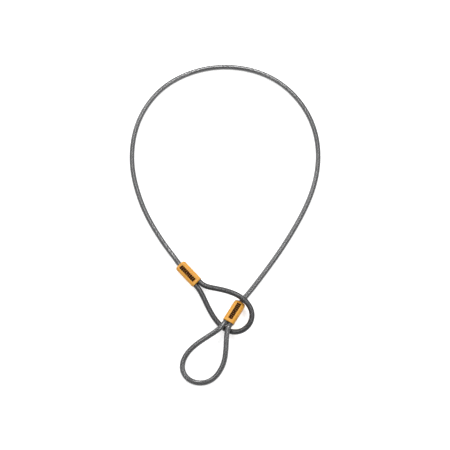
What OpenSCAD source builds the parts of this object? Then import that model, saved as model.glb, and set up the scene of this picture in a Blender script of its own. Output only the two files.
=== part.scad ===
// Security cable with an eye at each end: one end is threaded through the other end's eye,
// so the long span closes into a noose. Each eye is held by a crimped ferrule on the bare
// steel rope, under a moulded cover. The cable lies on a flat surface at z = 0.
// Everything is in millimetres, +Z up, with the origin under the middle of the whole cable.

/* [Cable] */
// Outer diameter of the vinyl-covered cable
cable_d = 5; // [4.6:0.1:5.4]
// Diameter of the bare steel rope inside the vinyl
rope_d = 3; // [2.4:0.1:3.4]
// Free space round the rope in the vinyl and in the ferrule
rope_fit = 0.1; // [0.06:0.02:0.2]
// Gap between the two legs of an eye where they enter the cover
leg_gap = 0.04; // [0.02:0.02:0.3]

/* [Ferrule] */
// Length of the crimped ferrule
ferrule_len = 9; // [8:0.5:10]
// Wall of the ferrule round each rope
ferrule_wall = 1.4; // [1:0.1:1.8]
// Metal between the ferrule's two bores
ferrule_web = 0.1; // [0.1:0.1:0.6]
// Depth of the waist that the crimping dies press between the two barrels
ferrule_waist = 0.5; // [0.2:0.1:0.8]
// Distance from the middle of the cover to the middle of the ferrule
ferrule_at = 1.3; // [0.5:0.1:1.5]

/* [Cover] */
// Length of the moulded cover
cover_len = 24.4; // [23.4:0.2:26]
// Wall of the cover on its two narrow sides
cover_side_wall = 0.4; // [0.4:0.1:1.2]
// Wall of the cover on its two broad faces
cover_face_wall = 0.7; // [0.6:0.1:1.2]
// Radius of the cover's long edges
cover_round = 2.6; // [1.8:0.1:3]
// Radius of the edges at the cover's two ends, seen from the side
cover_end_round = 0.9; // [0.5:0.1:1]
// Radius of the cover's four corners, seen from above
cover_corner = 2; // [1:0.1:2.4]
// Length of the bore that the single cable leaves by
cover_lead = 3.4; // [3:0.1:4]
// Free space round the cable, the legs and the ferrule in the cover
cover_fit = 0.1; // [0.1:0.02:0.2]
// Length of the sunk panel on the cover's face
panel_len = 19.6; // [14:0.2:20]
// Width of the sunk panel
panel_w = 4.2; // [3:0.1:5]
// Depth of the sunk panel
panel_depth = 0.25; // [0.1:0.05:0.4]
// Distance of the panel from the middle of the cover, towards the cable end
panel_back = 0.7; // [0:0.1:1.2]

/* [Hidden] */
$fn = 64;
eps = 0.01;

// Where the two covers lie: x and y of the middle, heading of the open mouth, nose-up, roll.
a_at = [-33.8, -59.3];
a_yaw = -47.5;
a_roll = 18;
b_at = [8.25, -97.5];
b_yaw = -119.5;
b_pitch = 17;
// The cable, not the cover, carries the low end of cover B, this far off the surface.
b_clear = 0.6;

// Sizes that follow from the ones above
leg_off = (cable_d + leg_gap) / 2;
bore_r = rope_d / 2 + rope_fit;
bore_off = bore_r + ferrule_web / 2;
barrel_r = bore_r + ferrule_wall;
slot_w = 2 * (max(leg_off + cable_d / 2, bore_off + barrel_r) + cover_fit);
slot_h = 2 * (max(cable_d / 2, barrel_r) + cover_fit);
slot_round = cable_d / 2 - cover_fit;
cover_w = slot_w + 2 * cover_side_wall;
cover_h = slot_h + 2 * cover_face_wall;
panel_round = 0.8;

// Tube meshes: sides round a jacket and round a rope, rings along the span and along an eye
jacket_sides = 12;
rope_sides = 8;
span_rings = 48;
eye_rings = 36;
// Rings over which a leg's section turns from the cover's tilt to level
lean_rings = 7;
// Rings in each bend of the rope inside a cover
bend_rings = 4;
// Spacing of the straight points at a cover's cable end and at its mouth
lead_step = 3.2;
mouth_step = 2.4;

// Guide points of the centreline: x, y and how far the cable is lifted off the surface.
// The line is a uniform cubic B-spline that they steer.
span_guide = [
    [-47, -43.5, 2], [-55, -33, 1], [-65.5, -17, 0.2], [-76.5, 2.5, 0], [-85, 25, 0],
    [-91, 49.5, 0], [-91.5, 74.5, 0], [-87, 99, 0], [-76.5, 121, 0], [-61.5, 139, 0],
    [-41.5, 152, 0], [-18, 160, 0], [7, 161.5, 0], [32, 156.5, 0], [54, 145, 0],
    [72, 127, 0], [85, 104.5, 0], [91.5, 79.5, 0], [91.5, 53.5, 0], [86, 28, 0],
    [76, 4.5, 0], [63.5, -18, 0], [50.5, -38.5, 0], [37.9, -56.1, 0], [27.7, -69.8, 0],
    [20.6, -78.9, 0]];
// Eye A leaves its cover by the right-hand leg, passes over cover B's cable end, comes round
// and goes back under both legs of eye B.
eye_a_guide = [
    [-18.6, -71.2, 3.5], [-13, -73, 4.2], [-7, -74.3, 5.1], [1, -76.5, 6.4], [11, -80.5, 8],
    [19.5, -87, 9.2], [24.5, -95.5, 9.4], [25, -104, 8.6], [20.5, -111.5, 7.2],
    [13, -115.5, 5.5], [4, -115, 3.9], [-4.5, -109, 3.6], [-11.5, -99.5, 3.5],
    [-16.5, -89.5, 3.2], [-20.5, -80.5, 2.6], [-23.5, -75, 2]];
// Eye B leaves its raised cover by the left-hand leg and comes down on to the surface.
eye_b_guide = [
    [-3.2, -111.4, 10.1], [-7, -114.9, 10.2], [-11.9, -118, 9.5], [-18.2, -121.7, 8],
    [-26.1, -126.6, 5.8], [-33.5, -133, 3.8], [-38.3, -141, 2], [-38.8, -149, 0.7],
    [-35, -156, 0], [-28, -160.3, 0], [-19, -161, 0], [-11, -158, 0.9], [-4.5, -151, 2.5],
    [-0.4, -142.1, 4.7], [0.8, -132.8, 7.3], [1.2, -124.6, 9.4], [1.5, -118.6, 10.3],
    [2.4, -113.9, 10.2]];

// ---- Places and directions ------------------------------------------------------------

// A place with its own axes: [middle, along, across, above]
function frame(middle, yaw, pitch, roll) =
    let (along = [cos(pitch) * cos(yaw), cos(pitch) * sin(yaw), sin(pitch)],
         level = [-sin(yaw), cos(yaw), 0],
         across = level * cos(roll) + cross(along, level) * sin(roll))
    [middle, along, across, cross(along, across)];

// A point in such a place
function at(f, along, across = 0, above = 0) =
    f[0] + f[1] * along + f[2] * across + f[3] * above;

// Height of the cover's middle when the rolled cover lies on one rounded long edge
a_z = (cover_w / 2 - cover_round) * sin(a_roll) + (cover_h / 2 - cover_round) * cos(a_roll)
    + cover_round;
// Height of the cover's middle when the low end of the nose-up cover is b_clear off the surface
b_z = (cover_len / 2 - cover_end_round) * sin(b_pitch)
    + (cover_h / 2 - cover_end_round) * cos(b_pitch) + cover_end_round + b_clear;
end_a = frame([a_at[0], a_at[1], a_z], a_yaw, 0, a_roll);
end_b = frame([b_at[0], b_at[1], b_z], b_yaw, b_pitch, 0);

module in_cover_a() translate(end_a[0]) rotate([a_roll, 0, a_yaw]) children();
module in_cover_b() translate(end_b[0]) rotate([0, -b_pitch, b_yaw]) children();

// ---- Centrelines ----------------------------------------------------------------------

// A guide point as a point of the cable's middle
function lifted(p) = [p[0], p[1], cable_d / 2 + p[2]];

// Uniform cubic B-spline through the guide polygon p, for x from 1 to len(p) - 2
function spline(p, x) =
    let (i = min(floor(x), len(p) - 3), u = x - i)
    ((1 - u) ^ 3 * p[i - 1] + (3 * u ^ 3 - 6 * u ^ 2 + 4) * p[i]
        + (-3 * u ^ 3 + 3 * u ^ 2 + 3 * u + 1) * p[i + 1] + u ^ 3 * p[i + 2]) / 6;

function line(p, rings) = [for (j = [0 : rings - 1]) spline(p, 1 + (len(p) - 3) * j / (rings - 1))];

function reversed(p) = [for (i = [len(p) - 1 : -1 : 0]) p[i]];

// Four points straight through one end of a cover. side is -1 at its cable end and 1 at its mouth.
function straight(f, side, step, across = 0) =
    [for (k = [-2 : 1]) at(f, side * (cover_len / 2 + k * step), across)];

span_line = line(concat(
    straight(end_a, -1, lead_step),
    [for (p = span_guide) lifted(p)],
    reversed(straight(end_b, -1, lead_step))), span_rings);

function eye_line(f, guide, first_leg) = line(concat(
    straight(f, 1, mouth_step, first_leg * leg_off),
    [for (p = guide) lifted(p)],
    reversed(straight(f, 1, mouth_step, -first_leg * leg_off))), eye_rings);

eye_a_line = eye_line(end_a, eye_a_guide, 1);
eye_b_line = eye_line(end_b, eye_b_guide, -1);

// The rope's bend inside a cover, from one distance off the middle line to another
function bend(f, from, to, off_from, off_to) =
    [for (k = [0 : bend_rings]) let (u = k / bend_rings, ease = u * u * (3 - 2 * u))
        at(f, from + (to - from) * u, off_from + (off_to - off_from) * ease)];

ferrule_back = ferrule_at - ferrule_len / 2;
ferrule_front = ferrule_at + ferrule_len / 2;
jacket_back = -cover_len / 2 + lead_step;
jacket_front = cover_len / 2 - mouth_step;
// The tail is cut off just inside the ferrule.
tail_inset = 0.5;

// From the ferrule's middle out through the cover's cable end, up to the jacket's first ring.
// live is the side of the ferrule that the span's rope runs through.
function span_root(f, live) = concat(
    [at(f, ferrule_at, live * bore_off)],
    [for (p = bend(f, ferrule_back, jacket_back, live * bore_off, 0)) p]);

// From inside the ferrule out to the first ring of one leg's jacket
function leg_root(f, start, side) = concat(
    [at(f, start, side * bore_off)],
    [for (p = bend(f, ferrule_front, jacket_front, side * bore_off, side * leg_off)) p]);

function without_ends(p) = [for (i = [1 : len(p) - 2]) p[i]];

span_rope_line = concat(
    span_root(end_a, 1), without_ends(span_line), reversed(span_root(end_b, -1)));
eye_a_rope_line = concat(
    leg_root(end_a, ferrule_at, 1), without_ends(eye_a_line),
    reversed(leg_root(end_a, ferrule_back + tail_inset, -1)));
eye_b_rope_line = concat(
    leg_root(end_b, ferrule_at, -1), without_ends(eye_b_line),
    reversed(leg_root(end_b, ferrule_back + tail_inset, 1)));

// ---- Tubes ----------------------------------------------------------------------------

function unit(v) = v / norm(v);

// Direction of the line p at its point i, halfway between its two neighbours' directions
function heading(p, i) = unit(
    (i > 0 ? unit(p[i] - p[i - 1]) : [0, 0, 0])
    + (i < len(p) - 1 ? unit(p[i + 1] - p[i]) : [0, 0, 0]));

// Upward direction of ring i: the cover's at both ends of the line, and level between them
function ring_up(i, count, first_up, last_up) =
    let (a = max(0, 1 - i / lean_rings), b = max(0, 1 - (count - 1 - i) / lean_rings))
    first_up * a + last_up * b + [0, 0, 1] * max(0, 1 - a - b);

// One ring of corners, with a flat side below
function ring(p, i, ups, corner_r, sides) =
    let (t = heading(p, i),
         across = unit(cross(ring_up(i, len(p), ups[0], ups[1]), t)),
         above = cross(t, across))
    [for (k = [0 : sides - 1]) let (a = 360 * (k + 0.5) / sides)
        p[i] + corner_r * (across * cos(a) + above * sin(a))];

// Corner radius of a many-sided tube whose flats are r from its middle
function corner(r, sides) = r / cos(180 / sides);

// Two triangles for each side between rings i and i + 1 of the corners that start at base
function wall_faces(rings, sides, base, inward) =
    [for (i = [0 : rings - 2], k = [0 : sides - 1])
        let (a = base + i * sides + k, b = base + i * sides + (k + 1) % sides,
             c = a + sides, d = b + sides)
        each inward ? [[a, d, c], [a, b, d]] : [[a, c, d], [a, d, b]]];

// Flat ends of a solid tube
function end_discs(rings, sides) =
    [[for (k = [0 : sides - 1]) k], [for (k = [sides - 1 : -1 : 0]) (rings - 1) * sides + k]];

// Flat ends of a hollow tube: outer is a ring's first corner, inner the bore's
function end_annulus(outer, inner, sides, facing_back) =
    [for (k = [0 : sides - 1])
        let (a = outer + k, b = outer + (k + 1) % sides,
             c = inner + k, d = inner + (k + 1) % sides)
        each facing_back ? [[a, b, d], [a, d, c]] : [[a, d, b], [a, c, d]]];

module solid_tube(p, ups, corner_r, sides)
    polyhedron(
        points = [for (i = [0 : len(p) - 1]) each ring(p, i, ups, corner_r, sides)],
        faces = concat(wall_faces(len(p), sides, 0, false), end_discs(len(p), sides)),
        convexity = 6);

module hollow_tube(p, ups, outer_r, inner_r, sides) {
    inner = len(p) * sides;
    last = (len(p) - 1) * sides;
    polyhedron(
        points = concat(
            [for (i = [0 : len(p) - 1]) each ring(p, i, ups, outer_r, sides)],
            [for (i = [0 : len(p) - 1]) each ring(p, i, ups, inner_r, sides)]),
        faces = concat(
            wall_faces(len(p), sides, 0, false),
            wall_faces(len(p), sides, inner, true),
            end_annulus(0, inner, sides, true),
            end_annulus(last, inner + last, sides, false)),
        convexity = 6);
}

module jacket(p, ups)
    hollow_tube(p, ups, corner(cable_d / 2, jacket_sides), corner(bore_r, jacket_sides),
                jacket_sides);

module rope(p, ups) solid_tube(p, ups, rope_d / 2, rope_sides);

// ---- Cover and ferrule, each along X with the mouth at +X -------------------------------

module rounded(w, h, r) {
    square([w - 2 * r, h], center = true);
    square([w, h - 2 * r], center = true);
    for (x = [-1, 1], y = [-1, 1])
        translate([x * (w / 2 - r), y * (h / 2 - r)]) circle(r);
}

// The block of a cover: rounded in section, and rounded at both ends in plan and from the side
module cover_block() {
    intersection() {
        translate([-cover_len / 2, 0, 0]) rotate([90, 0, 90])
            linear_extrude(cover_len) rounded(cover_w, cover_h, cover_round);
        translate([0, 0, -cover_h]) linear_extrude(2 * cover_h)
            rounded(cover_len, cover_w, cover_corner);
        translate([0, cover_w, 0]) rotate([90, 0, 0]) linear_extrude(2 * cover_w)
            rounded(cover_len, cover_h, cover_end_round);
    }
}

module cover() {
    difference() {
        cover_block();
        translate([-cover_len / 2 - eps, 0, 0]) rotate([0, 90, 0])
            cylinder(d = cable_d + 2 * cover_fit, h = cover_lead + 2 * eps);
        translate([-cover_len / 2 + cover_lead, 0, 0]) rotate([90, 0, 90])
            linear_extrude(cover_len) rounded(slot_w, slot_h, slot_round);
        translate([-panel_back, 0, cover_h / 2 - panel_depth])
            linear_extrude(panel_depth + eps) rounded(panel_len, panel_w, panel_round);
    }
}

// Two barrels side by side, crimped together at the waist
module ferrule() {
    translate([ferrule_back, 0, 0]) rotate([90, 0, 90]) linear_extrude(ferrule_len)
        difference() {
            union() {
                for (side = [-1, 1]) translate([side * bore_off, 0]) circle(barrel_r);
                square([2 * bore_off, 2 * (barrel_r - ferrule_waist)], center = true);
            }
            for (side = [-1, 1]) translate([side * bore_off, 0]) circle(bore_r);
        }
}

// ---- The pieces -----------------------------------------------------------------------

module cover_a() { color("orange") in_cover_a() cover(); }
module cover_b() { color("orange") in_cover_b() cover(); }
module ferrule_a() { color("silver") in_cover_a() ferrule(); }
module ferrule_b() { color("silver") in_cover_b() ferrule(); }
module span_jacket() { color("dimgray") jacket(span_line, [end_a[3], end_b[3]]); }
module eye_a_jacket() { color("dimgray") jacket(eye_a_line, [end_a[3], end_a[3]]); }
module eye_b_jacket() { color("dimgray") jacket(eye_b_line, [end_b[3], end_b[3]]); }
module span_rope() { color("lightsteelblue") rope(span_rope_line, [end_a[3], end_b[3]]); }
module eye_a_rope() { color("lightsteelblue") rope(eye_a_rope_line, [end_a[3], end_a[3]]); }
module eye_b_rope() { color("lightsteelblue") rope(eye_b_rope_line, [end_b[3], end_b[3]]); }

cover_a();
cover_b();
ferrule_a();
ferrule_b();
span_jacket();
eye_a_jacket();
eye_b_jacket();
span_rope();
eye_a_rope();
eye_b_rope();
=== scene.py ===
"""Looks of a looped security cable, laid out as a noose.

A vinyl-covered steel rope has an eye at each end. Each eye is crimped in an aluminium
ferrule under a moulded orange cover. End B is threaded through the eye of end A.
Everything is in metres in the model's frame: +Z up, and the cable lies on z = 0.
"""

import logging
import math
from dataclasses import dataclass, field
from enum import Enum

import bmesh
import bpy
from bpy.types import ID, Curve, Material, Mesh, Node, NodeSocket, NodeTree, Object
from mathutils import Matrix, Vector


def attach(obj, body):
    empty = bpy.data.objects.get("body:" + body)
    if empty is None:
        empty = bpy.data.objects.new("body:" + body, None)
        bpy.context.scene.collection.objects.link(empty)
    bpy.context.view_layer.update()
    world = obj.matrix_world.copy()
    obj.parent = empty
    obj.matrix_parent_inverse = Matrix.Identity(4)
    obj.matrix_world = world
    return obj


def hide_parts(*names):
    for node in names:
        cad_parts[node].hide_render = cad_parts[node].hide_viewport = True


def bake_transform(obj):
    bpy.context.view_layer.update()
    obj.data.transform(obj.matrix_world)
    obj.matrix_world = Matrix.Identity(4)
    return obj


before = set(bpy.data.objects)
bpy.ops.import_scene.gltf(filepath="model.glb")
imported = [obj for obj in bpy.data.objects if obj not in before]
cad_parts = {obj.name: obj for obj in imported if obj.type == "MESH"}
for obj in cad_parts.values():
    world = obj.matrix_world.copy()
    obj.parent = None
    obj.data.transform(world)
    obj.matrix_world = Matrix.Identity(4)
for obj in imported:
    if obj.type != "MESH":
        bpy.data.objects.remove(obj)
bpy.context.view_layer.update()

MM = 0.001

log = logging.getLogger("cable")


# ---- Small tools -----------------------------------------------------------------------


def linear(hex_colour: str) -> tuple[float, float, float, float]:
    """Turns an sRGB hex colour into the linear colour that shaders take.

    Args:
        hex_colour: a colour such as "#EFAA55".

    Returns:
        Red, green, blue and an alpha of 1.
    """
    parts = [int(hex_colour[i : i + 2], 16) / 255 for i in (1, 3, 5)]
    red, green, blue = (
        c / 12.92 if c <= 0.04045 else ((c + 0.055) / 1.055) ** 2.4 for c in parts
    )
    return red, green, blue, 1.0


def add_node(tree: NodeTree, kind: str, inputs: dict | None = None, **settings: object) -> Node:
    """Adds a node with its settings, and fills or links its inputs.

    Args:
        tree: the node tree that it goes into.
        kind: the node's type.
        inputs: socket names or numbers, each with a value or with a socket to link from.
        settings: the node's own properties.

    Returns:
        The new node.
    """
    node = tree.nodes.new(kind)
    for name, value in settings.items():
        setattr(node, name, value)
    for key, value in (inputs or {}).items():
        if isinstance(value, NodeSocket):
            tree.links.new(value, node.inputs[key])
        else:
            node.inputs[key].default_value = value
    return node


def show(name: str, mesh: Mesh) -> Object:
    """Puts a mesh into the scene as an object at the origin.

    Args:
        name: the object's name.
        mesh: its mesh.

    Returns:
        The new object.
    """
    piece = bpy.data.objects.new(name, mesh)
    bpy.context.scene.collection.objects.link(piece)
    return piece


def settle(piece: Object) -> Object:
    """Swaps a piece with modifiers for the plain mesh that they make.

    Args:
        piece: the object whose modifiers are finished.

    Returns:
        A new object of the same name, with no modifiers.
    """
    name = piece.name
    graph = bpy.context.evaluated_depsgraph_get()
    mesh = bpy.data.meshes.new_from_object(
        piece.evaluated_get(graph), preserve_all_data_layers=True, depsgraph=graph
    )
    bpy.data.objects.remove(piece)
    mesh.name = name
    return show(name, mesh)


def grow(name: str, seed: ID, tree: NodeTree, sizes: dict[str, object]) -> Object:
    """Runs a geometry node tree on a curve or mesh, and keeps the plain mesh that it makes.

    Args:
        name: the piece's name.
        seed: the curve or mesh that the tree starts from.
        tree: the geometry node tree.
        sizes: the tree's inputs by name.

    Returns:
        The finished piece.
    """
    host = show(name, seed)
    modifier = host.modifiers.new("grown", "NODES")
    modifier.node_group = tree
    sockets = {s.name: s.identifier for s in tree.interface.items_tree if s.in_out == "INPUT"}
    for socket, value in sizes.items():
        modifier[sockets[socket]] = value
    return settle(host)


def new_tree(name: str, inputs: dict[str, str]) -> tuple[NodeTree, Node, Node]:
    """Starts a geometry node tree that takes and gives one geometry.

    Args:
        name: the tree's name.
        inputs: the other inputs, each with its socket type.

    Returns:
        The tree, its input node and its output node.
    """
    tree = bpy.data.node_groups.new(name, "GeometryNodeTree")
    tree.interface.new_socket("Geometry", in_out="INPUT", socket_type="NodeSocketGeometry")
    for socket, kind in inputs.items():
        tree.interface.new_socket(socket, in_out="INPUT", socket_type=kind)
    tree.interface.new_socket("Geometry", in_out="OUTPUT", socket_type="NodeSocketGeometry")
    return tree, tree.nodes.new("NodeGroupInput"), tree.nodes.new("NodeGroupOutput")


def thread(name: str, points: list[Vector]) -> Curve:
    """Makes a curve of straight steps through some points.

    Args:
        name: the curve's name.
        points: the points.

    Returns:
        The curve.
    """
    curve = bpy.data.curves.new(name, "CURVE")
    curve.dimensions = "3D"
    spline = curve.splines.new("POLY")
    spline.points.add(len(points) - 1)
    for point, place in zip(spline.points, points):
        point.co = (*place, 1)
    return curve


# ---- Where things lie ------------------------------------------------------------------


@dataclass(frozen=True)
class Place:
    """A cover's place: its middle, and the heading, nose-up and roll of its open mouth."""

    middle: Vector
    yaw: float
    pitch: float = 0.0
    roll: float = 0.0

    def matrix(self) -> Matrix:
        """The place as a matrix.

        Returns:
            The turn and move that put X along the cover to its mouth, Y across it and Z out of
            its face.
        """
        turn = (
            Matrix.Rotation(math.radians(self.yaw), 4, "Z")
            @ Matrix.Rotation(math.radians(-self.pitch), 4, "Y")
            @ Matrix.Rotation(math.radians(self.roll), 4, "X")
        )
        return Matrix.Translation(self.middle) @ turn

    def at(self, along: float, across: float = 0.0, above: float = 0.0) -> Vector:
        """A point of the cover's own frame, in the model's frame."""
        return self.matrix() @ Vector((along, across, above))


@dataclass(frozen=True)
class CableSizes:
    """Sizes of the cable itself, as the frame has them."""

    cable_d: float = 5 * MM
    rope_d: float = 3 * MM
    bore_r: float = 1.6 * MM
    leg_off: float = 2.52 * MM
    strands: int = 6
    lay: float = 18 * MM


@dataclass(frozen=True)
class FerruleSizes:
    """Sizes of the crimped ferrule."""

    length: float = 9 * MM
    at: float = 1.3 * MM
    bore_off: float = 1.65 * MM
    tail_inset: float = 0.5 * MM

    @property
    def back(self) -> float:
        """Where the ferrule ends, towards the cover's cable end."""
        return self.at - self.length / 2

    @property
    def front(self) -> float:
        """Where the ferrule ends, towards the cover's mouth."""
        return self.at + self.length / 2


@dataclass(frozen=True)
class CoverSizes:
    """Sizes of the moulded cover."""

    length: float = 24.4 * MM
    side_wall: float = 0.4 * MM
    face_wall: float = 0.7 * MM
    slot_w: float = 10.24 * MM
    slot_h: float = 6.2 * MM
    slot_round: float = 2.4 * MM
    edge_round: float = 2.6 * MM
    end_round: float = 0.9 * MM
    corner: float = 2.0 * MM
    lead: float = 3.4 * MM
    lead_r: float = 2.6 * MM
    panel_l: float = 19.6 * MM
    panel_w: float = 4.2 * MM
    panel_depth: float = 0.25 * MM
    panel_round: float = 0.8 * MM
    panel_back: float = 0.7 * MM
    lead_step: float = 3.2 * MM
    mouth_step: float = 2.4 * MM

    @property
    def width(self) -> float:
        """The cover's width over both side walls."""
        return self.slot_w + 2 * self.side_wall

    @property
    def height(self) -> float:
        """The cover's height over both faces."""
        return self.slot_h + 2 * self.face_wall


CABLE = CableSizes()
FERRULE = FerruleSizes()
COVER = CoverSizes()


def resting_a() -> Place:
    """Cover A lies rolled over on one long edge.

    Returns:
        Its place.
    """
    roll = 18.0
    tilt = math.radians(roll)
    height = (
        (COVER.width / 2 - COVER.edge_round) * math.sin(tilt)
        + (COVER.height / 2 - COVER.edge_round) * math.cos(tilt)
        + COVER.edge_round
    )
    return Place(Vector((-33.8 * MM, -59.3 * MM, height)), yaw=-47.5, roll=roll)


def resting_b() -> Place:
    """Cover B has its mouth up, over eye A, and its cable end just off the surface.

    Returns:
        Its place.
    """
    pitch = 17.0
    clear = 0.6 * MM
    tilt = math.radians(pitch)
    height = (
        (COVER.length / 2 - COVER.end_round) * math.sin(tilt)
        + (COVER.height / 2 - COVER.end_round) * math.cos(tilt)
        + COVER.end_round
        + clear
    )
    return Place(Vector((8.25 * MM, -97.5 * MM, height)), yaw=-119.5, pitch=pitch)


END_A = resting_a()
END_B = resting_b()

# Guide points of the cable's middle line, in millimetres: x, y and lift off the surface.
SPAN_GUIDE = [
    (-47, -43.5, 2), (-55, -33, 1), (-65.5, -17, 0.2), (-76.5, 2.5, 0), (-85, 25, 0),
    (-91, 49.5, 0), (-91.5, 74.5, 0), (-87, 99, 0), (-76.5, 121, 0), (-61.5, 139, 0),
    (-41.5, 152, 0), (-18, 160, 0), (7, 161.5, 0), (32, 156.5, 0), (54, 145, 0),
    (72, 127, 0), (85, 104.5, 0), (91.5, 79.5, 0), (91.5, 53.5, 0), (86, 28, 0),
    (76, 4.5, 0), (63.5, -18, 0), (50.5, -38.5, 0), (37.9, -56.1, 0), (27.7, -69.8, 0),
    (20.6, -78.9, 0),
]
EYE_A_GUIDE = [
    (-18.6, -71.2, 3.5), (-13, -73, 4.2), (-7, -74.3, 5.1), (1, -76.5, 6.4), (11, -80.5, 8),
    (19.5, -87, 9.2), (24.5, -95.5, 9.4), (25, -104, 8.6), (20.5, -111.5, 7.2),
    (13, -115.5, 5.5), (4, -115, 3.9), (-4.5, -109, 3.6), (-11.5, -99.5, 3.5),
    (-16.5, -89.5, 3.2), (-20.5, -80.5, 2.6), (-23.5, -75, 2),
]
EYE_B_GUIDE = [
    (-3.2, -111.4, 10.1), (-7, -114.9, 10.2), (-11.9, -118, 9.5), (-18.2, -121.7, 8),
    (-26.1, -126.6, 5.8), (-33.5, -133, 3.8), (-38.3, -141, 2), (-38.8, -149, 0.7),
    (-35, -156, 0), (-28, -160.3, 0), (-19, -161, 0), (-11, -158, 0.9), (-4.5, -151, 2.5),
    (-0.4, -142.1, 4.7), (0.8, -132.8, 7.3), (1.2, -124.6, 9.4), (1.5, -118.6, 10.3),
    (2.4, -113.9, 10.2),
]


def lifted(guide: list[tuple[float, float, float]]) -> list[Vector]:
    """The guide points as points of the cable's middle line, in metres."""
    return [Vector((x * MM, y * MM, CABLE.cable_d / 2 + lift * MM)) for x, y, lift in guide]


def straight(place: Place, side: int, across: float = 0.0) -> list[Vector]:
    """Four points straight through one end of a cover, going outwards.

    Args:
        place: the cover's place.
        side: -1 at its cable end and 1 at its mouth.
        across: distance off the cover's middle line.

    Returns:
        The points, of which the third lies at the cover's end.
    """
    step = COVER.lead_step if side < 0 else COVER.mouth_step
    return [place.at(side * (COVER.length / 2 + k * step), across) for k in (-2, -1, 0, 1)]


def spline(guide: list[Vector], steps: int = 8) -> list[Vector]:
    """Points of the uniform cubic B-spline that a guide steers.

    Args:
        guide: the guide points.
        steps: points for each stretch between two guide points.

    Returns:
        The line from the second guide point to the last but one.
    """
    line = []
    for i in range(1, len(guide) - 2):
        near = guide[i - 1 : i + 3]
        for k in range(steps):
            u = k / steps
            weights = (
                (1 - u) ** 3,
                3 * u**3 - 6 * u**2 + 4,
                -3 * u**3 + 3 * u**2 + 3 * u + 1,
                u**3,
            )
            line.append(sum((w * p for w, p in zip(weights, near)), Vector()) / 6)
    line.append((guide[-3] + 4 * guide[-2] + guide[-1]) / 6)
    return line


def bend(
    place: Place, start: tuple[float, float], end: tuple[float, float], steps: int = 8
) -> list[Vector]:
    """The rope's soft double bend inside a cover.

    Args:
        place: the cover's place.
        start: distance along and across the cover where the bend starts.
        end: the same where it ends.
        steps: stretches in the bend.

    Returns:
        The bend's points.
    """
    line = []
    for k in range(steps + 1):
        u = k / steps
        ease = u * u * (3 - 2 * u)
        along = start[0] + (end[0] - start[0]) * u
        across = start[1] + (end[1] - start[1]) * ease
        line.append(place.at(along, across))
    return line


class Length(Enum):
    """The three lengths of the cable, each with the middle lines of its vinyl and its rope."""

    SPAN = "span"
    EYE_A = "eye_a"
    EYE_B = "eye_b"

    def root(self) -> tuple[Place, int]:
        """An eye's cover, and the side of it, 1 or -1, that the eye's line starts on."""
        return (END_A, 1) if self is Length.EYE_A else (END_B, -1)

    def line(self) -> list[Vector]:
        """The middle line of the vinyl on this length.

        Returns:
            Its points, from where the vinyl starts inside a cover to where it ends inside one.
        """
        if self is Length.SPAN:
            ends = straight(END_A, -1), straight(END_B, -1)
            return spline(ends[0] + lifted(SPAN_GUIDE) + ends[1][::-1])
        place, first = self.root()
        guide = EYE_A_GUIDE if self is Length.EYE_A else EYE_B_GUIDE
        out = straight(place, 1, first * CABLE.leg_off)
        back = straight(place, 1, -first * CABLE.leg_off)
        return spline(out + lifted(guide) + back[::-1])

    def rope_line(self) -> list[Vector]:
        """The middle line of the steel rope on this length, on into its ferrules.

        Returns:
            Its points, from ferrule to ferrule.
        """
        back = -COVER.length / 2 + COVER.lead_step
        front = COVER.length / 2 - COVER.mouth_step
        if self is Length.SPAN:
            roots = [
                [place.at(FERRULE.at, side * FERRULE.bore_off)]
                + bend(place, (FERRULE.back, side * FERRULE.bore_off), (back, 0.0))
                for place, side in ((END_A, 1), (END_B, -1))
            ]
        else:
            place, first = self.root()
            tail = FERRULE.back + FERRULE.tail_inset
            roots = [
                [place.at(start, side * FERRULE.bore_off)]
                + bend(
                    place,
                    (FERRULE.front, side * FERRULE.bore_off),
                    (front, side * CABLE.leg_off),
                )
                for start, side in ((FERRULE.at, first), (tail, -first))
            ]
        return roots[0] + self.line()[1:-1] + roots[1][::-1]


# ---- Finishes --------------------------------------------------------------------------


@dataclass(frozen=True)
class Finish:
    """A finish that dresses a piece: what every material starts from."""

    name: str

    def start(self) -> tuple[Material, NodeTree, Node]:
        """Starts the material.

        Returns:
            The new material, its tree and its main shader.
        """
        material = bpy.data.materials.new(self.name)
        material.use_nodes = True
        tree = material.node_tree
        return material, tree, tree.nodes["Principled BSDF"]


@dataclass(frozen=True)
class Mottled(Finish):
    """A finish that varies softly between two colours, and in gloss with them."""

    colour: str
    second: str
    roughness: tuple[float, float]
    patch: float
    detail: float

    def start(self) -> tuple[Material, NodeTree, Node]:
        """Starts the material with its two colours and its gloss.

        Returns:
            The new material, its tree and its main shader.
        """
        material, tree, shader = super().start()
        place = add_node(tree, "ShaderNodeTexCoord")
        cloud = add_node(
            tree,
            "ShaderNodeTexNoise",
            {"Vector": place.outputs["Object"], "Scale": 1 / self.patch, "Detail": self.detail},
        )
        colour = add_node(
            tree,
            "ShaderNodeMix",
            {0: cloud.outputs[0], 6: linear(self.colour), 7: linear(self.second)},
            data_type="RGBA",
        )
        gloss = add_node(
            tree,
            "ShaderNodeMapRange",
            {"Value": cloud.outputs[0], "To Min": self.roughness[0], "To Max": self.roughness[1]},
        )
        tree.links.new(colour.outputs[2], shader.inputs["Base Color"])
        tree.links.new(gloss.outputs[0], shader.inputs["Roughness"])
        return material, tree, shader


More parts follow.
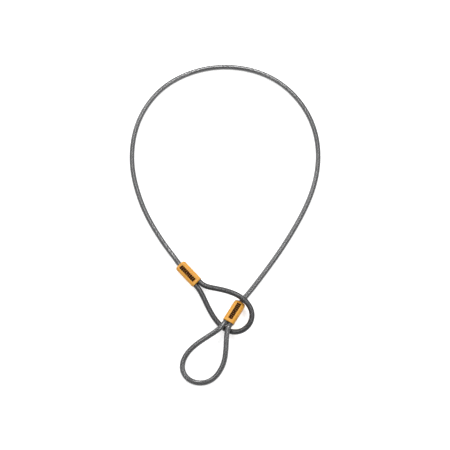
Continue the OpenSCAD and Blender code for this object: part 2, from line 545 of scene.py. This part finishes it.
@dataclass(frozen=True)
class SmokeVinyl(Finish):
    """Plasticised PVC, extruded hot over the rope: glossy, and grey as smoke.

    The rope's strands show through it as a slanting grain, pale on each strand's crown and
    dark between two strands, under a smooth clear skin.
    """

    name: str = "extruded_smoke_vinyl"
    crown: str = "#636364"
    groove: str = "#4A4A4B"
    # Where the groove's colour ends and the crown's is full: 0 is between two strands, and 0.5
    # on the middle of one.
    groove_end: float = 0.02
    crown_start: float = 0.42
    relief: float = 0.12 * MM
    relief_strength: float = 0.1
    roughness: float = 0.28
    specular: float = 0.4
    coat: float = 1.0
    coat_roughness: float = 0.14

    def build(self) -> Material:
        """Makes the material, which reads the tube's lay_around and lay_turns attributes.

        Returns:
            The material.
        """
        material, tree, shader = self.start()
        around = add_node(tree, "ShaderNodeAttribute", attribute_name="lay_around")
        turns = add_node(tree, "ShaderNodeAttribute", attribute_name="lay_turns")
        side = add_node(tree, "ShaderNodeSeparateXYZ", {0: around.outputs["Vector"]})
        angle = add_node(
            tree,
            "ShaderNodeMath",
            {0: side.outputs["Y"], 1: side.outputs["X"]},
            operation="ARCTAN2",
        )
        across = angle.outputs[0]
        for operation, value in (
            ("DIVIDE", math.tau),
            ("SUBTRACT", turns.outputs["Fac"]),
            ("MULTIPLY", CABLE.strands),
            ("PINGPONG", 0.5),
        ):
            step = add_node(tree, "ShaderNodeMath", {0: across, 1: value}, operation=operation)
            across = step.outputs[0]
        crown = add_node(
            tree,
            "ShaderNodeMapRange",
            {"Value": across, "From Min": self.groove_end, "From Max": self.crown_start},
            interpolation_type="SMOOTHSTEP",
        )
        colour = add_node(
            tree,
            "ShaderNodeMix",
            {0: crown.outputs[0], 6: linear(self.groove), 7: linear(self.crown)},
            data_type="RGBA",
        )
        relief = add_node(
            tree,
            "ShaderNodeBump",
            {"Height": crown.outputs[0], "Distance": self.relief, "Strength": self.relief_strength},
        )
        tree.links.new(colour.outputs[2], shader.inputs["Base Color"])
        tree.links.new(relief.outputs[0], shader.inputs["Normal"])
        shader.inputs["Roughness"].default_value = self.roughness
        shader.inputs["Specular IOR Level"].default_value = self.specular
        shader.inputs["Coat Weight"].default_value = self.coat
        shader.inputs["Coat Roughness"].default_value = self.coat_roughness
        return material


@dataclass(frozen=True)
class MouldedPlastic(Mottled):
    """Polypropylene, injection moulded in a fine spark-eroded tool.

    It is satin, and light goes a little way into it. The tool leaves a soft grain, drawn here
    about three times as coarse as it is, so that it shows.
    """

    name: str = "moulded_orange_polypropylene"
    colour: str = "#F0AE42"
    second: str = "#E9A238"
    roughness: tuple[float, float] = (0.33, 0.46)
    patch: float = 8 * MM
    detail: float = 3.0
    grain: float = 0.6 * MM
    grain_detail: float = 2.0
    relief: float = 0.03 * MM
    relief_strength: float = 0.5
    subsurface: float = 0.1
    subsurface_scale: float = 1 * MM

    def build(self) -> Material:
        """Makes the material.

        Returns:
            The material.
        """
        material, tree, shader = self.start()
        place = add_node(tree, "ShaderNodeTexCoord")
        grain = add_node(
            tree,
            "ShaderNodeTexNoise",
            {
                "Vector": place.outputs["Object"],
                "Scale": 1 / self.grain,
                "Detail": self.grain_detail,
            },
        )
        relief = add_node(
            tree,
            "ShaderNodeBump",
            {"Height": grain.outputs[0], "Distance": self.relief, "Strength": self.relief_strength},
        )
        tree.links.new(relief.outputs[0], shader.inputs["Normal"])
        shader.inputs["Subsurface Weight"].default_value = self.subsurface
        shader.inputs["Subsurface Scale"].default_value = self.subsurface_scale
        return material


@dataclass(frozen=True)
class PadPrint(Mottled):
    """Two-part ink, pad printed thick: matt, and near black with a little of the orange in it."""

    name: str = "pad_printed_ink"
    colour: str = "#2C1300"
    second: str = "#4A2702"
    roughness: tuple[float, float] = (0.6, 0.75)
    patch: float = 1.2 * MM
    detail: float = 4.0
    specular: float = 0.12

    def build(self) -> Material:
        """Makes the material.

        Returns:
            The material.
        """
        material, _, shader = self.start()
        shader.inputs["Specular IOR Level"].default_value = self.specular
        return material


@dataclass(frozen=True)
class DrawnMetal(Mottled):
    """A bare metal, drawn or pressed: it shines unevenly, where the tool has marked it.

    The marks are drawn coarser than they are, so that they show.
    """

    colour: str = "#BFC1C4"
    second: str = "#94979B"
    roughness: tuple[float, float] = (0.25, 0.5)
    patch: float = 0.5 * MM
    detail: float = 4.0

    def build(self) -> Material:
        """Makes the material.

        Returns:
            The material.
        """
        material, _, shader = self.start()
        shader.inputs["Metallic"].default_value = 1.0
        return material


@dataclass(frozen=True)
class StudioPaper(Finish):
    """Seamless white paper. The camera sees it a little brighter than the lamps make it.

    Far from the cable, where the lamps don't reach, it is lifted to plain white.
    """

    name: str = "seamless_paper"
    colour: str = "#F4F4F4"
    roughness: float = 0.9
    lift: float = 0.65
    near: float = 0.35
    far: float = 1.6

    def build(self) -> Material:
        """Makes the material.

        Returns:
            The material.
        """
        material, tree, shader = self.start()
        shader.inputs["Base Color"].default_value = linear(self.colour)
        shader.inputs["Roughness"].default_value = self.roughness
        shader.inputs["Specular IOR Level"].default_value = 0.0
        path = add_node(tree, "ShaderNodeLightPath")
        seen = add_node(
            tree,
            "ShaderNodeMath",
            {0: path.outputs["Is Camera Ray"], 1: path.outputs["Is Glossy Ray"]},
            operation="MAXIMUM",
        )
        either = add_node(
            tree,
            "ShaderNodeMath",
            {0: seen.outputs[0], 1: path.outputs["Is Transmission Ray"]},
            operation="MAXIMUM",
        )
        place = add_node(tree, "ShaderNodeTexCoord")
        away = add_node(
            tree, "ShaderNodeVectorMath", {0: place.outputs["Object"]}, operation="LENGTH"
        )
        lift = add_node(
            tree,
            "ShaderNodeMapRange",
            {
                "Value": away.outputs["Value"],
                "From Min": self.near,
                "From Max": self.far,
                "To Min": self.lift,
                "To Max": 1.0,
            },
            interpolation_type="SMOOTHSTEP",
        )
        strength = add_node(
            tree, "ShaderNodeMath", {0: either.outputs[0], 1: lift.outputs[0]}, operation="MULTIPLY"
        )
        shader.inputs["Emission Color"].default_value = linear("#FFFFFF")
        tree.links.new(strength.outputs[0], shader.inputs["Emission Strength"])
        return material


# ---- Pieces that follow a line ---------------------------------------------------------


def lay_turns(tree: NodeTree, given: Node) -> NodeSocket:
    """Counts the turns that the rope's lay has made at each point of a line.

    Args:
        tree: the tree.
        given: its input node, which has a Lay.

    Returns:
        The socket that holds the turns.
    """
    along = add_node(tree, "GeometryNodeSplineParameter")
    turns = add_node(
        tree,
        "ShaderNodeMath",
        {0: along.outputs["Length"], 1: given.outputs["Lay"]},
        operation="DIVIDE",
    )
    return turns.outputs[0]


def sheath_tree() -> NodeTree:
    """A tube round a line, which knows where it is round the line and how far along its lay.

    Returns:
        The geometry node tree.
    """
    tree, given, result = new_tree(
        "Sheath",
        {
            "Radius": "NodeSocketFloat",
            "Sides": "NodeSocketInt",
            "Lay": "NodeSocketFloat",
            "Material": "NodeSocketMaterial",
        },
    )
    line = add_node(
        tree,
        "GeometryNodeStoreNamedAttribute",
        {
            "Geometry": given.outputs["Geometry"],
            "Name": "lay_turns",
            "Value": lay_turns(tree, given),
        },
        data_type="FLOAT",
        domain="POINT",
    )
    circle = add_node(
        tree,
        "GeometryNodeCurvePrimitiveCircle",
        {"Resolution": given.outputs["Sides"], "Radius": given.outputs["Radius"]},
        mode="RADIUS",
    )
    place = add_node(tree, "GeometryNodeInputPosition")
    direction = add_node(tree, "ShaderNodeVectorMath", {0: place.outputs[0]}, operation="NORMALIZE")
    ring = add_node(
        tree,
        "GeometryNodeStoreNamedAttribute",
        {"Geometry": circle.outputs["Curve"], "Name": "lay_around", "Value": direction.outputs[0]},
        data_type="FLOAT_VECTOR",
        domain="POINT",
    )
    tube = add_node(
        tree,
        "GeometryNodeCurveToMesh",
        {"Curve": line.outputs["Geometry"], "Profile Curve": ring.outputs["Geometry"]},
    )
    finish_tree(tree, tube.outputs["Mesh"], given, result)
    return tree


def laid_rope_tree() -> NodeTree:
    """Strands laid in a helix round a core strand that follows a line.

    Returns:
        The geometry node tree.
    """
    tree, given, result = new_tree(
        "Laid rope",
        {
            "Strands": "NodeSocketInt",
            "Strand radius": "NodeSocketFloat",
            "Sides": "NodeSocketInt",
            "Lay": "NodeSocketFloat",
            "Step": "NodeSocketFloat",
            "Material": "NodeSocketMaterial",
        },
    )
    core = add_node(
        tree,
        "GeometryNodeResampleCurve",
        {"Curve": given.outputs["Geometry"], "Length": given.outputs["Step"]},
        mode="LENGTH",
    )
    copies = add_node(
        tree,
        "GeometryNodeDuplicateElements",
        {"Geometry": core.outputs["Curve"], "Amount": given.outputs["Strands"]},
        domain="SPLINE",
    )
    share = add_node(
        tree,
        "ShaderNodeMath",
        {0: copies.outputs["Duplicate Index"], 1: given.outputs["Strands"]},
        operation="DIVIDE",
    )
    turn = add_node(
        tree, "ShaderNodeMath", {0: share.outputs[0], 1: lay_turns(tree, given)}, operation="ADD"
    )
    angle = add_node(
        tree, "ShaderNodeMath", {0: turn.outputs[0], 1: math.tau}, operation="MULTIPLY"
    )
    cosine = add_node(tree, "ShaderNodeMath", {0: angle.outputs[0]}, operation="COSINE")
    sine = add_node(tree, "ShaderNodeMath", {0: angle.outputs[0]}, operation="SINE")
    normal = add_node(tree, "GeometryNodeInputNormal")
    tangent = add_node(tree, "GeometryNodeInputTangent")
    side = add_node(
        tree,
        "ShaderNodeVectorMath",
        {0: tangent.outputs[0], 1: normal.outputs[0]},
        operation="CROSS_PRODUCT",
    )
    first, second = (
        add_node(
            tree,
            "ShaderNodeVectorMath",
            {0: way.outputs[0], "Scale": size.outputs[0]},
            operation="SCALE",
        )
        for way, size in ((normal, cosine), (side, sine))
    )
    outwards = add_node(
        tree, "ShaderNodeVectorMath", {0: first.outputs[0], 1: second.outputs[0]}, operation="ADD"
    )
    # A strand lies on the core strand, so its middle is two strand radii from the core's.
    reach = add_node(
        tree, "ShaderNodeMath", {0: given.outputs["Strand radius"], 1: 2.0}, operation="MULTIPLY"
    )
    offset = add_node(
        tree,
        "ShaderNodeVectorMath",
        {0: outwards.outputs[0], "Scale": reach.outputs[0]},
        operation="SCALE",
    )
    laid = add_node(
        tree,
        "GeometryNodeSetPosition",
        {"Geometry": copies.outputs["Geometry"], "Offset": offset.outputs[0]},
    )
    lines = add_node(tree, "GeometryNodeJoinGeometry")
    tree.links.new(core.outputs["Curve"], lines.inputs[0])
    tree.links.new(laid.outputs["Geometry"], lines.inputs[0])
    circle = add_node(
        tree,
        "GeometryNodeCurvePrimitiveCircle",
        {"Resolution": given.outputs["Sides"], "Radius": given.outputs["Strand radius"]},
        mode="RADIUS",
    )
    strands = add_node(
        tree,
        "GeometryNodeCurveToMesh",
        {"Curve": lines.outputs[0], "Profile Curve": circle.outputs["Curve"], "Fill Caps": True},
    )
    finish_tree(tree, strands.outputs["Mesh"], given, result)
    return tree


def dash_tree(corner_steps: int = 5) -> NodeTree:
    """A row of equal rounded dashes, printed across a strip.

    Args:
        corner_steps: steps in each rounded corner.

    Returns:
        The geometry node tree.
    """
    tree, given, result = new_tree(
        "Row of dashes",
        {
            "Count": "NodeSocketInt",
            "Pitch": "NodeSocketFloat",
            "Length": "NodeSocketFloat",
            "Width": "NodeSocketFloat",
            "Rounding": "NodeSocketFloat",
            "Thickness": "NodeSocketFloat",
            "Material": "NodeSocketMaterial",
        },
    )
    outline = add_node(
        tree,
        "GeometryNodeCurvePrimitiveQuadrilateral",
        {"Width": given.outputs["Width"], "Height": given.outputs["Length"]},
        mode="RECTANGLE",
    )
    rounded = add_node(
        tree,
        "GeometryNodeFilletCurve",
        {
            "Curve": outline.outputs["Curve"],
            "Count": corner_steps,
            "Radius": given.outputs["Rounding"],
            "Limit Radius": True,
        },
        mode="POLY",
    )
    face = add_node(
        tree, "GeometryNodeFillCurve", {"Curve": rounded.outputs["Curve"]}, mode="NGONS"
    )
    thick = add_node(
        tree,
        "GeometryNodeExtrudeMesh",
        {
            "Mesh": face.outputs["Mesh"],
            "Offset Scale": given.outputs["Thickness"],
            "Individual": False,
        },
        mode="FACES",
    )
    step = add_node(tree, "ShaderNodeCombineXYZ", {"X": given.outputs["Pitch"]})
    row = add_node(
        tree,
        "GeometryNodeMeshLine",
        {"Count": given.outputs["Count"], "Offset": step.outputs[0]},
        mode="OFFSET",
    )
    dashes = add_node(
        tree,
        "GeometryNodeInstanceOnPoints",
        {"Points": row.outputs["Mesh"], "Instance": thick.outputs["Mesh"]},
    )
    finish_tree(tree, dashes.outputs["Instances"], given, result, smooth=False)
    return tree


def finish_tree(
    tree: NodeTree,
    made: NodeSocket,
    given: Node,
    result: Node,
    smooth: bool = True,
) -> None:
    """Ends a tree: real geometry, its shading and its material.

    Args:
        tree: the tree.
        made: the socket that holds what was made.
        given: the tree's input node, which has a Material.
        result: the tree's output node.
        smooth: True for a round surface.
    """
    real = add_node(tree, "GeometryNodeRealizeInstances", {"Geometry": made})
    shaded = add_node(
        tree, "GeometryNodeSetShadeSmooth", {"Geometry": real.outputs[0], "Shade Smooth": smooth}
    )
    dressed = add_node(
        tree,
        "GeometryNodeSetMaterial",
        {"Geometry": shaded.outputs[0], "Material": given.outputs["Material"]},
    )
    tree.links.new(dressed.outputs[0], result.inputs["Geometry"])


# ---- The cable -------------------------------------------------------------------------


@dataclass
class Cable:
    """The three lengths of vinyl and the steel rope in them."""

    vinyl: Material
    # A darker copy of the vinyl for eye A: its darkness is painted shade.
    painted_shade_vinyl: Material
    steel: Material
    sides: int = 32
    strand_sides: int = 8
    strand_step: float = 1.2 * MM
    pull_direction: Vector = field(default_factory=lambda: Vector((0.65, -0.76, 0)))
    pull_start: float = 26 * MM
    pull_end: float = 74 * MM
    lift_inside: float = 4 * MM
    lift_outside: float = 18 * MM

    def build(self) -> None:
        """Makes each length's vinyl and rope. Eye A's hang on the held end's body, and the others
        stay in the model's frame.
        """
        sheath, rope = sheath_tree(), laid_rope_tree()
        for length in Length:
            line = length.line()
            strands = self.strands(length, rope)
            jacket = self.jacket(length, sheath, line)
            self.join(strands, length)
            self.join(jacket, length)
            log.info("%s: %.0f mm of cable", length.value, 1000 * self.measure(line))

    def jacket(self, length: Length, tree: NodeTree, line: list[Vector]) -> Object:
        """The vinyl on one length, hollow, with its bore a little wider than the rope.

        Args:
            length: which length of the cable.
            tree: the sheath's node tree.
            line: the middle line.

        Returns:
            The finished tube.
        """
        name = f"{length.value}_vinyl"
        # Eye A takes the darker copy of the vinyl, whose darkness is painted shade.
        finish = self.painted_shade_vinyl if length is Length.EYE_A else self.vinyl
        sizes = {
            "Radius": CABLE.cable_d / 2,
            "Sides": self.sides,
            "Lay": CABLE.lay,
            "Material": finish,
        }
        tube = grow(name, thread(name, line), tree, sizes)
        wall = tube.modifiers.new("wall", "SOLIDIFY")
        wall.thickness = CABLE.cable_d / 2 - CABLE.bore_r
        wall.offset = -1
        tube = settle(tube)
        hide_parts(f"{length.value}_jacket")
        return tube

    def strands(self, length: Length, tree: NodeTree) -> Object:
        """The laid steel rope in one length: six strands round a seventh.

        Args:
            length: which length of the cable.
            tree: the laid rope's node tree.

        Returns:
            The finished strands.
        """
        name = f"{length.value}_strands"
        sizes = {
            "Strands": CABLE.strands,
            "Strand radius": CABLE.rope_d / 6,
            "Sides": self.strand_sides,
            "Lay": CABLE.lay,
            "Step": self.strand_step,
            "Material": self.steel,
        }
        rope = grow(name, thread(name, length.rope_line()), tree, sizes)
        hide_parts(f"{length.value}_rope")
        return rope

    def join(self, piece: Object, length: Length) -> None:
        """Hangs a piece of eye A on the held end's body. The span's and eye B's pieces stay in the
        model's frame.

        Args:
            piece: the piece.
            length: the length of the cable that it is part of.
        """
        if length is Length.SPAN:
            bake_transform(piece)
        elif length is Length.EYE_A:
            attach(piece, "held_end")
        else:
            mouth = COVER.length / 2
            END_B.at(mouth - self.lift_inside)
            END_B.at(mouth + self.lift_outside)
            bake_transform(piece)

    @staticmethod
    def measure(line: list[Vector]) -> float:
        """The length of a line."""
        return sum((b - a).length for a, b in zip(line, line[1:]))


# ---- The covers ------------------------------------------------------------------------


@dataclass
class EndCover:
    """A moulded cover, with a sunk panel that a row of dashes is printed in."""

    node: str
    body: str
    place: Place
    plastic: Material
    ink: Material
    corner_points: int = 12
    rounding_steps: int = 6
    dash_count: int = 9
    dash_length: float = 4.0 * MM
    dash_width: float = 1.93 * MM
    dash_gap: float = 0.15 * MM
    dash_round: float = 0.3 * MM
    dash_thick: float = 0.08 * MM
    dash_shift: float = 0.3 * MM
    # Edges that turn by more degrees than softened_over are softened. Those that still turn by
    # more than sharp_over are shaded as sharp.
    softening: float = 0.1 * MM
    softening_steps: int = 2
    softened_over: float = 40.0
    sharp_over: float = 50.0

    def build(self, dashes: NodeTree) -> None:
        """Makes the cover and its print, and hangs both on the cover's body.

        Args:
            dashes: the node tree that makes the print.
        """
        shell = self.shell()
        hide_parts(self.node)
        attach(shell, self.body)
        log.info("%s: %d faces", shell.name, len(shell.data.polygons))
        printed = self.print_row(dashes)
        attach(printed, self.body)
        log.info("%s: %d dashes", printed.name, self.dash_count)

    def ring(self, width: float, height: float, rounding: float, along: float) -> list[Vector]:
        """A rounded rectangle across the cover.

        Args:
            width: its width.
            height: its height.
            rounding: radius of its corners.
            along: distance along the cover.

        Returns:
            Its points, anticlockwise seen from the mouth.
        """
        points = []
        for corner in range(4):
            sign_y = 1 if corner in (0, 3) else -1
            sign_z = 1 if corner in (0, 1) else -1
            centre = Vector(
                (along, sign_y * (width / 2 - rounding), sign_z * (height / 2 - rounding))
            )
            for k in range(self.corner_points):
                turn = math.radians(90 * (corner + k / (self.corner_points - 1)))
                points.append(centre + rounding * Vector((0, math.cos(turn), math.sin(turn))))
        return points

    def block_rings(self) -> list[list[Vector]]:
        """The block's sections, rounded in at both ends.

        Returns:
            Rings from its cable end to its mouth.
        """
        depths = [
            COVER.corner * (1 - math.cos(math.radians(90 * k / self.rounding_steps)))
            for k in range(self.rounding_steps + 1)
        ]
        made = []
        for depth in depths:
            narrower = self.drawn_in(COVER.corner, depth)
            lower = self.drawn_in(COVER.end_round, depth)
            rounding = COVER.edge_round - max(narrower, lower) / 2
            made.append((depth, COVER.width - 2 * narrower, COVER.height - 2 * lower, rounding))
        near = [self.ring(w, h, r, depth - COVER.length / 2) for depth, w, h, r in made]
        far = [self.ring(w, h, r, COVER.length / 2 - depth) for depth, w, h, r in made]
        return near + far[::-1]

    @staticmethod
    def drawn_in(radius: float, depth: float) -> float:
        """How far a rounded end's surface is drawn in, at a depth behind the end."""
        left = max(radius - depth, 0)
        return radius - math.sqrt(radius**2 - left**2)

    def cavity_rings(self) -> list[list[Vector]]:
        """The cavity's sections: the cable's bore, then the slot out through the mouth.

        Returns:
            Rings from behind the cable end to beyond the mouth.
        """
        back, front = -COVER.length / 2, COVER.length / 2
        bore = [2 * COVER.lead_r, 2 * COVER.lead_r, COVER.lead_r]
        slot = [COVER.slot_w, COVER.slot_h, COVER.slot_round]
        past = 1 * MM
        return [
            self.ring(*bore, back - past),
            self.ring(*bore, back + COVER.lead),
            self.ring(*slot, back + COVER.lead),
            self.ring(*slot, front + past),
        ]

    def loft(self, name: str, rings: list[list[Vector]]) -> Object:
        """A closed body through some rings.

        Args:
            name: the body's name.
            rings: its sections in order, each with the same number of points.

        Returns:
            The body, with its faces outwards.
        """
        form = bmesh.new()
        loops = [[form.verts.new(p) for p in ring] for ring in rings]
        for a, b in zip(loops, loops[1:]):
            for i in range(len(a)):
                j = (i + 1) % len(a)
                form.faces.new((a[i], a[j], b[j], b[i]))
        form.faces.new(loops[0])
        form.faces.new(loops[-1])
        bmesh.ops.recalc_face_normals(form, faces=form.faces)
        body = show(name, bpy.data.meshes.new(name))
        form.to_mesh(body.data)
        form.free()
        return body

    def shell(self) -> Object:
        """The moulded body, with its cavity, its cable bore and its sunk panel.

        Returns:
            The finished body.
        """
        piece = self.loft(f"{self.node}_shell", self.block_rings())
        cutters = [self.loft("cavity", self.cavity_rings()), self.loft("panel", self.panel_rings())]
        for cutter in cutters:
            cut = piece.modifiers.new(cutter.name, "BOOLEAN")
            cut.operation = "DIFFERENCE"
            cut.object = cutter
            cut.solver = "EXACT"
        soft = piece.modifiers.new("softened", "BEVEL")
        soft.limit_method = "ANGLE"
        soft.angle_limit = math.radians(self.softened_over)
        soft.width = self.softening
        soft.segments = self.softening_steps
        piece = settle(piece)
        for cutter in cutters:
            bpy.data.objects.remove(cutter)
        piece.data.shade_smooth()
        piece.data.set_sharp_from_angle(angle=math.radians(self.sharp_over))
        even = piece.modifiers.new("even", "WEIGHTED_NORMAL")
        even.keep_sharp = True
        piece = settle(piece)
        piece.data.materials.append(self.plastic)
        piece.data.transform(self.place.matrix())
        return piece

    def panel_rings(self) -> list[list[Vector]]:
        """The sunk panel's sections.

        Returns:
            Its outline at its floor, and as far above the cover's face as that is below it.
        """
        floor = COVER.height / 2 - COVER.panel_depth
        levels = []
        for height in (floor, floor + 2 * COVER.panel_depth):
            outline = self.ring(COVER.panel_l, COVER.panel_w, COVER.panel_round, 0.0)
            levels.append([Vector((p.y - COVER.panel_back, p.z, height)) for p in outline])
        return levels

    def print_row(self, tree: NodeTree) -> Object:
        """The row of dashes on the panel's floor.

        Args:
            tree: the node tree that makes them.

        Returns:
            The finished row.
        """
        pitch = self.dash_width + self.dash_gap
        sizes = {
            "Count": self.dash_count,
            "Pitch": pitch,
            "Length": self.dash_length,
            "Width": self.dash_width,
            "Rounding": self.dash_round,
            "Thickness": self.dash_thick,
            "Material": self.ink,
        }
        name = f"{self.node}_print"
        row = grow(name, bpy.data.meshes.new(name), tree, sizes)
        start = self.dash_shift - COVER.panel_back - pitch * (self.dash_count - 1) / 2
        floor = COVER.height / 2 - COVER.panel_depth
        row.data.transform(self.place.matrix() @ Matrix.Translation((start, 0, floor)))
        return row


# ---- The studio ------------------------------------------------------------------------


@dataclass(frozen=True)
class SoftBox:
    """A soft box that faces the cable: its place, its size seen from there, and its watts."""

    name: str
    where: tuple[float, float, float]
    size: tuple[float, float]
    power: float


@dataclass
class Studio:
    """White paper, soft boxes and the camera."""

    target: Vector = field(default_factory=lambda: Vector((0, -9 * MM, 0)))
    elevation: float = 70.0
    distance: float = 880 * MM
    focal_pixels: float = 921.5
    picture_pixels: int = 450
    sensor: float = 36.0
    paper_size: float = 12.0
    sky: float = 0.2
    boxes: tuple[SoftBox, ...] = (
        SoftBox("left", (-0.4, 0.0, 0.88), size=(0.9, 0.1), power=2.5),
        SoftBox("right", (0.4, 0.0, 0.88), size=(0.9, 0.1), power=3.25),
        SoftBox("overhead", (0.0, 0.34, 0.94), size=(0.12, 0.12), power=0.5),
        SoftBox("back", (0.0, 0.6, 0.85), size=(0.2, 0.2), power=3.2),
        SoftBox("back left", (-0.7, 0.8, 0.5), size=(0.4, 0.4), power=1.6),
    )

    def build(self) -> None:
        """Makes the camera, the paper, the soft boxes and the sky."""
        self.camera()
        self.paper()
        for box in self.boxes:
            self.lamp(box)
        self.world()
        log.info("studio: camera %.0f degrees up, %.2f m away", self.elevation, self.distance)

    def camera(self) -> None:
        """Stands the camera in front of the object, looking down on it."""
        lens = bpy.data.cameras.new("camera")
        lens.sensor_width = self.sensor
        lens.lens = self.focal_pixels / self.picture_pixels * self.sensor
        camera = bpy.data.objects.new("camera", lens)
        bpy.context.scene.collection.objects.link(camera)
        tilt = math.radians(self.elevation)
        back = Vector((0, -math.cos(tilt), math.sin(tilt)))
        camera.location = self.target + back * self.distance
        camera.rotation_euler = (-back).to_track_quat("-Z", "Y").to_euler()
        bpy.context.scene.camera = camera

    def paper(self) -> None:
        """Lays the paper under the cable."""
        form = bmesh.new()
        bmesh.ops.create_grid(form, x_segments=1, y_segments=1, size=self.paper_size / 2)
        mesh = bpy.data.meshes.new("paper")
        form.to_mesh(mesh)
        form.free()
        paper = show("paper", mesh)
        paper.data.materials.append(StudioPaper().build())

    def lamp(self, box: SoftBox) -> None:
        """Hangs a soft box, turned to the cable.

        Args:
            box: the soft box.
        """
        light = bpy.data.lights.new(box.name, "AREA")
        light.shape = "RECTANGLE"
        light.size, light.size_y = box.size
        light.energy = box.power
        lamp = bpy.data.objects.new(box.name, light)
        bpy.context.scene.collection.objects.link(lamp)
        lamp.location = box.where
        facing = self.target - Vector(box.where)
        lamp.rotation_euler = facing.to_track_quat("-Z", "Y").to_euler()

    def world(self) -> None:
        """Lights everything evenly, and shows white to the camera."""
        world = bpy.data.worlds.new("sky")
        bpy.context.scene.world = world
        world.use_nodes = True
        tree = world.node_tree
        path = add_node(tree, "ShaderNodeLightPath")
        strength = add_node(
            tree,
            "ShaderNodeMapRange",
            {"Value": path.outputs["Is Camera Ray"], "To Min": self.sky, "To Max": 1.0},
        )
        background = tree.nodes["Background"]
        background.inputs["Color"].default_value = linear("#FFFFFF")
        tree.links.new(strength.outputs[0], background.inputs["Strength"])


def dress_ferrules(metal: Material) -> None:
    """Gives the two ferrules, whose shape is right already, their metal.

    Args:
        metal: the metal.
    """
    for node in ("ferrule_a", "ferrule_b"):
        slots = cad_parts[node].data.materials
        slots.clear()
        slots.append(metal)
        log.info("%s: dressed", node)


def main() -> None:
    """Builds the studio and the object's pieces in order."""
    logging.basicConfig(level=logging.INFO, format="%(message)s")
    bpy.context.scene.view_settings.view_transform = "Standard"
    Studio().build()
    vinyl = SmokeVinyl().build()
    # Eye A gets a darker, less glossy copy of the vinyl. Its darkness is painted shade, for the
    # shade that eye A is seen in.
    darker_painted_shade_vinyl = SmokeVinyl(
        name="painted_shade_smoke_vinyl",
        crown="#3D3D3F",
        groove="#2C2C2D",
        roughness=0.42,
        coat=0.6,
        coat_roughness=0.26,
    ).build()
    steel = DrawnMetal("galvanised_steel_wire", colour="#A9ACAF", second="#7E8286").build()
    Cable(vinyl=vinyl, painted_shade_vinyl=darker_painted_shade_vinyl, steel=steel).build()
    plastic, ink, dashes = MouldedPlastic().build(), PadPrint().build(), dash_tree()
    for node, body, place in (("cover_a", "held_end", END_A), ("cover_b", "free_end", END_B)):
        EndCover(node=node, body=body, place=place, plastic=plastic, ink=ink).build(dashes)
    dress_ferrules(DrawnMetal("pressed_aluminium", roughness=(0.3, 0.55)).build())


if __name__ == "__main__":
    main()
